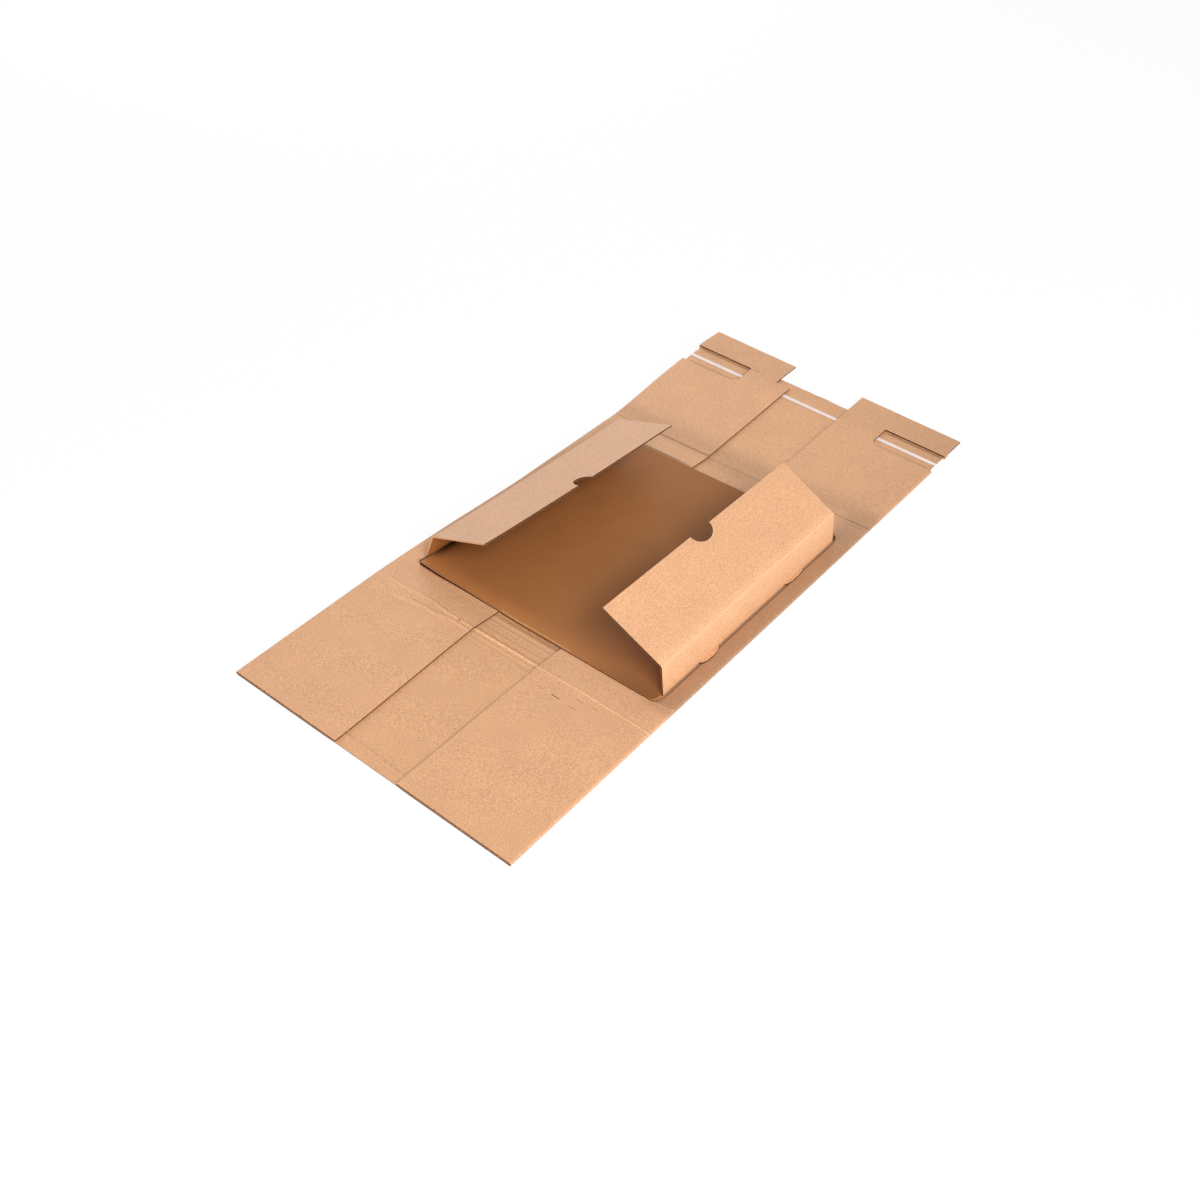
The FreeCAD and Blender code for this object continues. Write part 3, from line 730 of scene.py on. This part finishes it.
class MAILER_OT_wrap(bpy.types.Operator):
    """Build the long outer sheet with its margins folded in"""
    bl_idname = "mailer.wrap"
    bl_label = "Outer wrap"

    def execute(self, context):
        board = context.scene.mailer_board
        wrap = context.scene.mailer_wrap
        fold = WrapFold(board, wrap)
        ridge_line = FREE_END + wrap.near_panel
        left_slit, right_slit = HALF_WIDTH - wrap.left_margin, HALF_WIDTH - wrap.right_margin
        left_edge, right_edge = -fold.across(left_slit), fold.across(right_slit)
        step_back, step_start = 17 * MM, fold.lower_end - 11 * MM
        left_step = -fold.across(left_slit + step_back)
        window_end = wrap.window_depth - HALF_WIDTH
        left_foot, right_foot = fold.across(-135.6 * MM), fold.across(139.6 * MM)
        around, fine = 3 * MM, 0.6
        # An odd number of steps keeps the grid lines off the windows' cut, at half the turn.
        turn_step = fold.bend / 9 / MM
        columns = lines(
            (left_edge, 5), (left_step, 8), (left_foot - around, fine), (left_foot + around, 6),
            (-fold.turned, turn_step), (-fold.flat_half, 8), (window_end - around, fine),
            (window_end + around, 8), (-left_slit, 5), (right_slit, 8),
            (fold.flat_half, turn_step), (fold.turned, 6),
            (right_foot - around, fine), (right_foot + around, 8), (right_edge, 8),
        )
        # Fine rows at the nipped edge, the creases, the windows' near side and the stepped tail.
        rows = lines(
            (FREE_END, 1), (FREE_END + 14 * MM, 9), (ridge_line - 20 * MM, 0.45), (4 * MM, 12),
            (277 * MM, fine), (312 * MM, 5), (fold.window_near - around, 0.5),
            (fold.window_near + around, 3), (step_start, 0.5), (fold.lower_end, 4), (TAIL_END, 4),
        )

        def waste(x, y):
            if y > fold.lower_end:
                return abs(x) < fold.turned or x < left_step
            return x < left_step and y > step_start

        sheet = cut_sheet("outer_wrap_board", columns, rows, waste, board.thickness)
        pierce(sheet, self.windows(board, wrap, fold))
        pierce(sheet, self.nicks(board, fold))
        materials = board_materials(board, "kraft_inner_paper", board.inner_paper, 0.5)
        name_faces(sheet, board, materials)
        # The windows' cut through the fold is crushed, and shows no fluting.
        for face in sheet.data.polygons:
            beside_fold = abs(abs(face.center.x) - fold.half_turn) < 0.3 * MM
            if beside_fold and abs(face.normal.x) > 0.5:
                face.material_index = OUTER

        def shown(flat):
            """Flutes show through between the ridge and the tray, and beyond the far crease."""
            spine = ramp(flat.y - ridge_line, -3, 3) * ramp(flat.y, 30, 10)
            far_spine = ramp(flat.y, 240, 270) * ramp(flat.y, 330, 305)
            strength = 0.4 if abs(flat.x) < fold.flat_half else 0.3
            return FAINT + strength * max(spine, far_spine)

        def painted_shading(flat):
            """Painted highlight and shade of the marks, 1 where half a millimetre high, and the
            painted shade around the tray.
            """
            x, _, turned = fold.section(flat)
            marks = mark_height(MARGIN if turned > 0.5 else FLOOR, x, flat.y) / (0.5 * MM)
            return marks + painted_shade(x, flat.y)

        lay_down(sheet, fold.place, shown, painted_shading)
        hand_over(sheet, "wrap_board", "outer_wrap")
        return {"FINISHED"}

    def windows(self, board, wrap, fold):
        """Blocks that cut the closure's two windows, from half the turn inward."""
        inner_side = fold.turned + wrap.window_depth - fold.radius
        blocks = []
        for side in (-1, 1):
            low, high = sorted((side * fold.half_turn, side * inner_side))
            blocks.append(block(
                Vector((low, fold.window_near, -OVER)),
                Vector((high, fold.window_far, board.thickness + OVER)),
                corner=Vector((side * inner_side, fold.window_near)), radius=wrap.window_corner,
            ))
        return blocks

    def nicks(self, board, fold):
        """Cutters for the tear notches beside the windows and for the dashes; no two overlap."""
        middle = fold.half_turn + 0.6 * MM
        nicks = [
            disc((side * middle, along, board.thickness / 2), 3 * MM, 3.6 * MM, 4 * MM, sides=3)
            for side in (-1, 1)
            for along in (fold.window_near + 3.5 * MM, fold.window_far - 6 * MM)
        ]
        for x, y, dash, through in DASHES:
            deep = board.thickness + OVER if through else 0.4 * MM
            half = Vector((dash / 2 * MM, 0.35 * MM, 0.0))
            at = Vector((fold.across(x * MM), y * MM, 0.0))
            nicks.append(block(at - half + Vector((0, 0, -OVER)), at + half + Vector((0, 0, deep))))
        return nicks


# ---- how the tray lies


class TrayFold:
    """The tray's cross-section: a base, two walls that lean in and two flaps."""

    # The turns from which the lengths of the two bends on the flat sheet are worked out.
    FOOT_TURN, FLAP_TURN = math.radians(95), math.radians(55)
    # How far each flap's free edge is off a square cut, at its near and its far end, in mm.
    STRETCHED = {-1: (2.6, 1.6), 1: (1.6, 0.3)}
    SHIFTED = {-1: (1.8, 1.8), 1: (-2.9, -1.0)}
    EDGE = 0.2 * MM  # Less than the width of the relief slits between shelves and walls.
    FRAYED = 0.12  # What is left of the front corner's lift at its frayed lower edge.

    def __init__(self, board, wrap, tray):
        self.board = board.thickness
        self.wrap = wrap
        self.tray = tray
        self.underside = 2 * board.thickness + board.gap
        middle_radius = tray.bend + self.board / 2
        self.foot = tray.base_width / 2
        self.wall_start = self.foot + middle_radius * self.FOOT_TURN
        self.wall_end = self.wall_start + tray.wall
        self.flap_start = self.wall_end + middle_radius * self.FLAP_TURN
        self.flap_end = self.flap_start + tray.flap
        self.near = tray.front_shelf
        self.far = tray.base_length - tray.back_shelf

    def share(self, y):
        """The share of the walls' length at a distance along."""
        return (y - self.near) / (self.far - self.near)

    def angles(self, side, y):
        """The wall's lean and the flap's angle above level, at a distance along."""
        tray = self.tray
        if side > 0:
            return tray.right_lean, tray.right_flap
        lean = between(self.share(y), tray.left_lean_near, tray.left_lean_far)
        return lean, between(self.share(y), tray.left_flap_near, tray.left_flap_far)

    def section(self, side, run, depth, y):
        """Outward distance and height of a point at a run from the base's middle line."""
        if run <= self.foot:
            return run, depth
        lean, flap = self.angles(side, y)
        wall_heading, flap_heading = math.pi / 2 + lean, math.pi - flap
        radius = self.tray.bend + self.board - depth
        centre = Vector((self.foot, self.board + self.tray.bend))

        def beyond(heading, ahead=0.0):
            """The point of the bend at which the board has a heading, and then straight ahead."""
            way = Vector((math.cos(heading), math.sin(heading)))
            return tuple(centre + Vector((way.y, -way.x)) * radius + way * ahead)

        if run <= self.wall_start:
            return beyond(wall_heading * (run - self.foot) / (self.wall_start - self.foot))
        if run <= self.wall_end:
            return beyond(wall_heading, run - self.wall_start)
        centre += Vector((math.cos(wall_heading), math.sin(wall_heading))) * self.tray.wall
        if run <= self.flap_start:
            share = (run - self.wall_end) / (self.flap_start - self.wall_end)
            return beyond(between(share, wall_heading, flap_heading))
        return beyond(flap_heading, run - self.flap_start)

    def off_square(self, side, run, y):
        """How far a flap's outer part is stretched across and shifted along from the square cut."""
        if run <= self.flap_start:
            return 0.0, 0.0
        out = (run - self.flap_start) / self.tray.flap
        stretched = between(self.share(y), *self.STRETCHED[side])
        shifted = between(self.share(y), *self.SHIFTED[side])
        return out * stretched * MM, out * shifted * MM

    def rounding(self, x, y):
        """How much narrower a shelf is beside its rounded corners."""
        radius = self.tray.corner if x > 0 else self.tray.corner / 2
        inward = min(max(radius - min(y, self.tray.base_length - y), 0.0), radius)
        return 1 - (radius - math.sqrt(radius * radius - inward * inward)) / self.foot

    def warp(self, x, y):
        """The front corner that stands off the wrap on the left."""
        along = 1 / (1 + y / self.tray.front_reach)
        across = max(0.0, (-x - self.tray.front_start) / (self.foot - self.tray.front_start))
        return self.tray.front_rise * along * across

    def place(self, flat):
        """Where a point of the flat sheet lies in the frame."""
        side = math.copysign(1.0, flat.x)
        run, y = abs(flat.x), flat.y
        if y < self.near + self.EDGE or y > self.far - self.EDGE:
            outward, height = run * self.rounding(flat.x, y), flat.z
        else:
            stretched, shifted = self.off_square(side, run, y)
            outward, height = self.section(side, run + stretched, flat.z, y)
            y += shifted
        x = self.tray.shift + side * outward
        foot_x = self.tray.shift + side * min(run, self.foot)
        lift = side_lift(self.wrap, foot_x, y)
        swaying = sway(x, y, 0.15 * MM, 70 * MM, 7.0)
        warp = self.warp(foot_x, y)
        # The front edge is cut back a little, left of the middle.
        y += 1.0 * MM * ramp(flat.x, -15, -45) * ramp(flat.x, -120, -85) * ramp(y, 9, 0)
        if flat.y < 0.1 * MM and flat.z < 0.1 * MM:
            # The front edge is frayed down to the wrap.
            warp *= self.FRAYED
        return Vector((x, y + TRAY_FRONT, self.underside + height + lift + swaying + warp))


class MAILER_OT_tray(bpy.types.Operator):
    """Build the inner tray with its walls and flaps"""
    bl_idname = "mailer.tray"
    bl_label = "Inner tray"

    # Thumb notches in the flaps: side, and middle along, depth and half-length in mm.
    NOTCHES = ((1, 140.5, 11.3, 13.5), (-1, 141.4, 11.8, 9.6))
    # Half-moon tongues at the right wall's foot: middle along, length and reach in mm.
    TONGUES = ((73.6, 26, 4.1), (204, 27, 2.5))
    # Painted shade, where the walls shade the far shelf's ends.
    SHELF_END_SHADE = -3.4  # How dark the ends of the far shelf are.

    def execute(self, context):
        board = context.scene.mailer_board
        tray = context.scene.mailer_tray
        fold = TrayFold(board, context.scene.mailer_wrap, tray)
        relief = 0.5 * MM
        shelf_half = fold.foot + tray.bend + board.thickness
        half = [
            (fold.foot, 0.5), (fold.wall_start, 3.2), (fold.wall_end, 0.35), (fold.flap_start, 8),
            (fold.flap_end, 8),
        ]
        left = [(-place, spacing) for (place, _), (_, spacing) in zip(half[::-1], half[-2::-1])]
        columns = lines(*left, (-fold.foot, 9), *half)
        rows = lines(
            (0.0, 0.5), (3 * MM, 2), (fold.near, 0.5), (fold.near + relief, 4),
            (fold.far - relief, 0.5), (fold.far, 2), (tray.base_length, 2),
        )

        def waste(x, y):
            in_shelf = y < fold.near or y > fold.far
            in_relief = fold.near < y < fold.near + relief or fold.far - relief < y < fold.far
            return (in_shelf and abs(x) > shelf_half) or (in_relief and abs(x) > fold.foot)

        sheet = cut_sheet("inner_tray_board", columns, rows, waste, board.thickness)
        pierce(sheet, [
            disc((side * fold.flap_end, along * MM, 0), reach * MM, half_length * MM, 6 * MM)
            for side, along, reach, half_length in self.NOTCHES
        ])
        # The tray's inside takes its kraft in painted shade.
        materials = board_materials(board, "tray_paper_in_painted_shade", board.tray_paper_in_shade, 0.15)
        name_faces(sheet, board, materials)
        # A band on top of the front lip and the left flap's near end take the paler outer paper as
        # a painted highlight; that end shows no fluting.
        for face in sheet.data.polygons:
            middle, normal = face.center, face.normal
            at_near_end = normal.y < -0.9 and middle.y < fold.near + 1 * MM
            on_lip = normal.z > 0.9 and 1.5 * MM < middle.y < 2 * MM
            crushed = on_lip and -tray.lip_highlight_left < middle.x < tray.lip_highlight_right
            if crushed or at_near_end and middle.x < -fold.wall_start:
                face.material_index = OUTER

        def shown(flat):
            return 1.0 if abs(flat.x) < fold.wall_start else FAINT

        def painted_shading(flat):
            """Painted pale in front, in shade at the left foot; walls' insides and right fold
            painted light.
            """
            x, y = flat.x, flat.y
            inner = flat.z > 0.5 * board.thickness
            if abs(x) <= fold.foot:
                lit = 0.4 * ramp(x - fold.foot, -70, 0) + 0.1 - 0.6 * ramp(x, -10, 60)
                # Painted light on the base's front, turning to painted shade at its right; painted
                # shade along the left foot, darker in its crease.
                front_light_and_shade = (1.3 - 2.4 * ramp(x, 40, 130)) * ramp(y, 24, 0)
                left_foot_shade = ramp(x + fold.foot, 16, 0) * ramp(y, 10, 40)
                left_foot_crease_shade = ramp(x + fold.foot, 6, 0) * ramp(y, 10, 22)
                return front_light_and_shade + lit - 2.0 * left_foot_shade - 2.5 * left_foot_crease_shade
            # The far shelf's ends, beside the walls, in painted shade.
            if abs(x) < shelf_half and y > fold.far:
                return self.SHELF_END_SHADE
            if x < 0:
                # The left wall's inside is painted light, with painted shade along its foot.
                at_foot = hump(x + fold.foot, -1, 1.5)
                return 1.4 - 4.5 * at_foot if inner and x > -fold.wall_end else 0.0
            # The right wall's and flap's insides are painted light; outside, the wall is painted
            # lighter and the fold takes a painted highlight.
            if inner:
                return BRIGHTEST
            fold_middle = (fold.wall_end + fold.flap_start) / 2
            fold_highlight = 0.8 * hump(x - fold_middle, 0, 1.2)
            return fold_highlight if x > fold_middle else max(0.4, fold_highlight)

        lay_down(sheet, fold.place, shown, painted_shading)
        self.tongues(board, tray, fold, sheet)
        hand_over(sheet, "tray_board", "inner_tray")
        return {"FINISHED"}

    def tongues(self, board, tray, fold, sheet):
        """Two half-moons of board that stand out at the right wall's foot."""
        bottom, top = 0.05 * MM, board.thickness - 0.08 * MM
        level = fold.underside + (bottom + top) / 2
        foot_face = tray.shift + fold.foot + tray.bend + board.thickness - 0.3 * MM
        for along, span, reach in self.TONGUES:
            middle = (foot_face, along * MM + TRAY_FRONT, level)
            tongue = disc(middle, reach * MM, span * MM / 2, top - bottom)
            for material in sheet.data.materials:
                tongue.data.materials.append(material)
            for face in tongue.data.polygons:
                face.material_index = OUTER if abs(face.normal.z) > 0.5 else CUT
            note(tongue.data, "ply", [0.5] * len(tongue.data.vertices))
            select_only(sheet, tongue)
            bpy.ops.object.join()


# ---- closure and stage


def closure_band(name, wrap, underside, thickness, near, far):
    """A thin band across the closure panel's lower layer, as wide as the liner."""
    columns = lines((-LINER_HIGH.x, 4), (LINER_HIGH.x, 4))
    band = flat_grid(name, columns, lines((near, 1.2), (far, 1.2)))
    apply_modifier(band, "SOLIDIFY", thickness=thickness, offset=1.0)
    for vertex in band.data.vertices:
        flat = vertex.co.copy()
        lift = side_lift(wrap, flat.x, flat.y)
        vertex.co = (flat.x, flat.y + TRAY_FRONT, underside + flat.z + lift)
    bpy.ops.object.shade_smooth_by_angle(angle=SMOOTH_UNDER)
    return band


class MAILER_OT_closure(bpy.types.Operator):
    """Lay the adhesive strip and its release liner across the closure"""
    bl_idname = "mailer.closure"
    bl_label = "Adhesive and liner"

    def execute(self, context):
        closure = context.scene.mailer_closure
        near = LINER_LOW.y - TRAY_FRONT + closure.trim
        far = LINER_HIGH.y - TRAY_FRONT - closure.trim
        level = context.scene.mailer_board.thickness
        for name, slot, node, thickness, material in (
            ("adhesive_bead", "adhesive", "adhesive_strip", closure.adhesive,
             hot_melt("hot_melt_adhesive", closure.glue)),
            ("release_liner_tape", "liner_paper", "release_liner", closure.liner,
             release_paper("siliconised_release_paper", closure.liner_paper)),
        ):
            level += closure.clearance
            band = closure_band(name, context.scene.mailer_wrap, level, thickness, near, far)
            band.data.materials.append(material)
            hand_over(band, slot, node)
            level += thickness
        return {"FINISHED"}


def seen_directly(nodes):
    """1 for rays from the camera or off a gloss, which see white, and 0 for the light itself."""
    rays = nodes.add("LightPath")
    return nodes.math("MAXIMUM", rays.outputs["Is Camera Ray"], rays.outputs["Is Glossy Ray"])


class MAILER_OT_stage(bpy.types.Operator):
    """Add the floor, the lamps and the camera"""
    bl_idname = "mailer.stage"
    bl_label = "Stage"

    WHITE = (1.0, 1.0, 1.0, 1.0)
    FLOOR_GLOW = 0.88  # Share of its own white in how the floor looks; the rest is matt and shaded.
    SOFT_LIGHT = 0.51  # Strength of the light that comes from all round.
    # Soft lamps: name, size in metres, power in watts, place and aim.
    LAMPS = (
        ("key_lamp", 1.5, 83.0, (2.1, -1.3, 2.1), (0, -0.1, 0)),
        ("side_lamp", 1.0, 2.8, (1.6, -0.3, 0.35), (0.1, 0, 0)),
        ("back_lamp", 1.6, 8.5, (-1.5, 1.1, 0.55), (-0.1, 0, 0.05)),
    )

    def execute(self, context):
        stage = context.scene.mailer_stage
        self.floor(stage)
        self.world(context.scene)
        for setting in self.LAMPS:
            self.lamp(*setting)
        self.camera(context.scene, stage)
        context.scene.view_settings.view_transform = "Standard"
        return {"FINISHED"}

    def floor(self, stage):
        bpy.ops.mesh.primitive_plane_add(size=12.0, location=(0, 0, 0))
        floor = bpy.context.object
        floor.name = "studio_floor"
        for vertex in floor.data.vertices:
            vertex.co.z = -0.3 * MM
        nodes = Nodes(bpy.data.materials.new("studio_floor_paper"))
        matt = nodes.add("BsdfDiffuse", {"Color": linear(stage.floor)}).outputs[0]
        white = nodes.add("Emission", {"Color": self.WHITE, "Strength": 1.0}).outputs[0]
        share = nodes.math("MULTIPLY", seen_directly(nodes), self.FLOOR_GLOW)
        nodes.finish(nodes.add("MixShader", {0: share, 1: matt, 2: white}))
        floor.data.materials.append(nodes.owner)

    def world(self, scene):
        nodes = Nodes(bpy.data.worlds.new("studio_world"))
        soft = nodes.add("Background", {"Color": self.WHITE, "Strength": self.SOFT_LIGHT})
        white = nodes.add("Background", {"Color": self.WHITE, "Strength": 1.0})
        inputs = {0: seen_directly(nodes), 1: soft.outputs[0], 2: white.outputs[0]}
        nodes.finish(nodes.add("MixShader", inputs), "OutputWorld")
        scene.world = nodes.owner

    def lamp(self, name, size, power, place, aim):
        bpy.ops.object.light_add(type="AREA", location=place)
        light = bpy.context.object
        light.name = name
        light.data.shape = "SQUARE"
        light.data.size = size
        light.data.energy = power
        light.rotation_euler = (Vector(aim) - Vector(place)).to_track_quat("-Z", "Y").to_euler()

    def camera(self, scene, stage):
        back = Vector((
            math.sin(stage.azimuth) * math.cos(stage.elevation),
            -math.cos(stage.azimuth) * math.cos(stage.elevation),
            math.sin(stage.elevation),
        ))
        bpy.ops.object.camera_add(location=Vector(stage.aim) + back * stage.distance)
        camera = bpy.context.object
        camera.name = "studio_camera"
        camera.rotation_euler = (-back).to_track_quat("-Z", "Y").to_euler()
        camera.data.sensor_width = 36.0
        camera.data.lens = stage.lens
        camera.data.clip_start = 0.05
        scene.camera = camera


class MAILER_PT_panel(bpy.types.Panel):
    """Sizes, colours and the steps that build the mailer"""
    bl_idname = "MAILER_PT_panel"
    bl_label = "Book wrap mailer"
    bl_space_type = "VIEW_3D"
    bl_region_type = "UI"
    bl_category = "Mailer"

    def draw(self, context):
        for name, group in GROUPS.items():
            box = self.layout.box()
            box.label(text=group.__doc__)
            for prop in group.__annotations__:
                box.prop(getattr(context.scene, name), prop)
        for operator in OPERATORS:
            self.layout.operator(operator.bl_idname)


OPERATORS = (MAILER_OT_wrap, MAILER_OT_tray, MAILER_OT_closure, MAILER_OT_stage)


def register():
    for group in GROUPS.values():
        bpy.utils.register_class(group)
    for operator in OPERATORS:
        bpy.utils.register_class(operator)
    bpy.utils.register_class(MAILER_PT_panel)
    for name, group in GROUPS.items():
        setattr(bpy.types.Scene, name, PointerProperty(type=group))


def unregister():
    for name in GROUPS:
        delattr(bpy.types.Scene, name)
    bpy.utils.unregister_class(MAILER_PT_panel)
    for operator in reversed(OPERATORS):
        bpy.utils.unregister_class(operator)
    for group in reversed(GROUPS.values()):
        bpy.utils.unregister_class(group)


def main():
    register()
    bpy.ops.mailer.wrap()
    bpy.ops.mailer.tray()
    bpy.ops.mailer.closure()
    bpy.ops.mailer.stage()


if __name__ == "__main__":
    main()
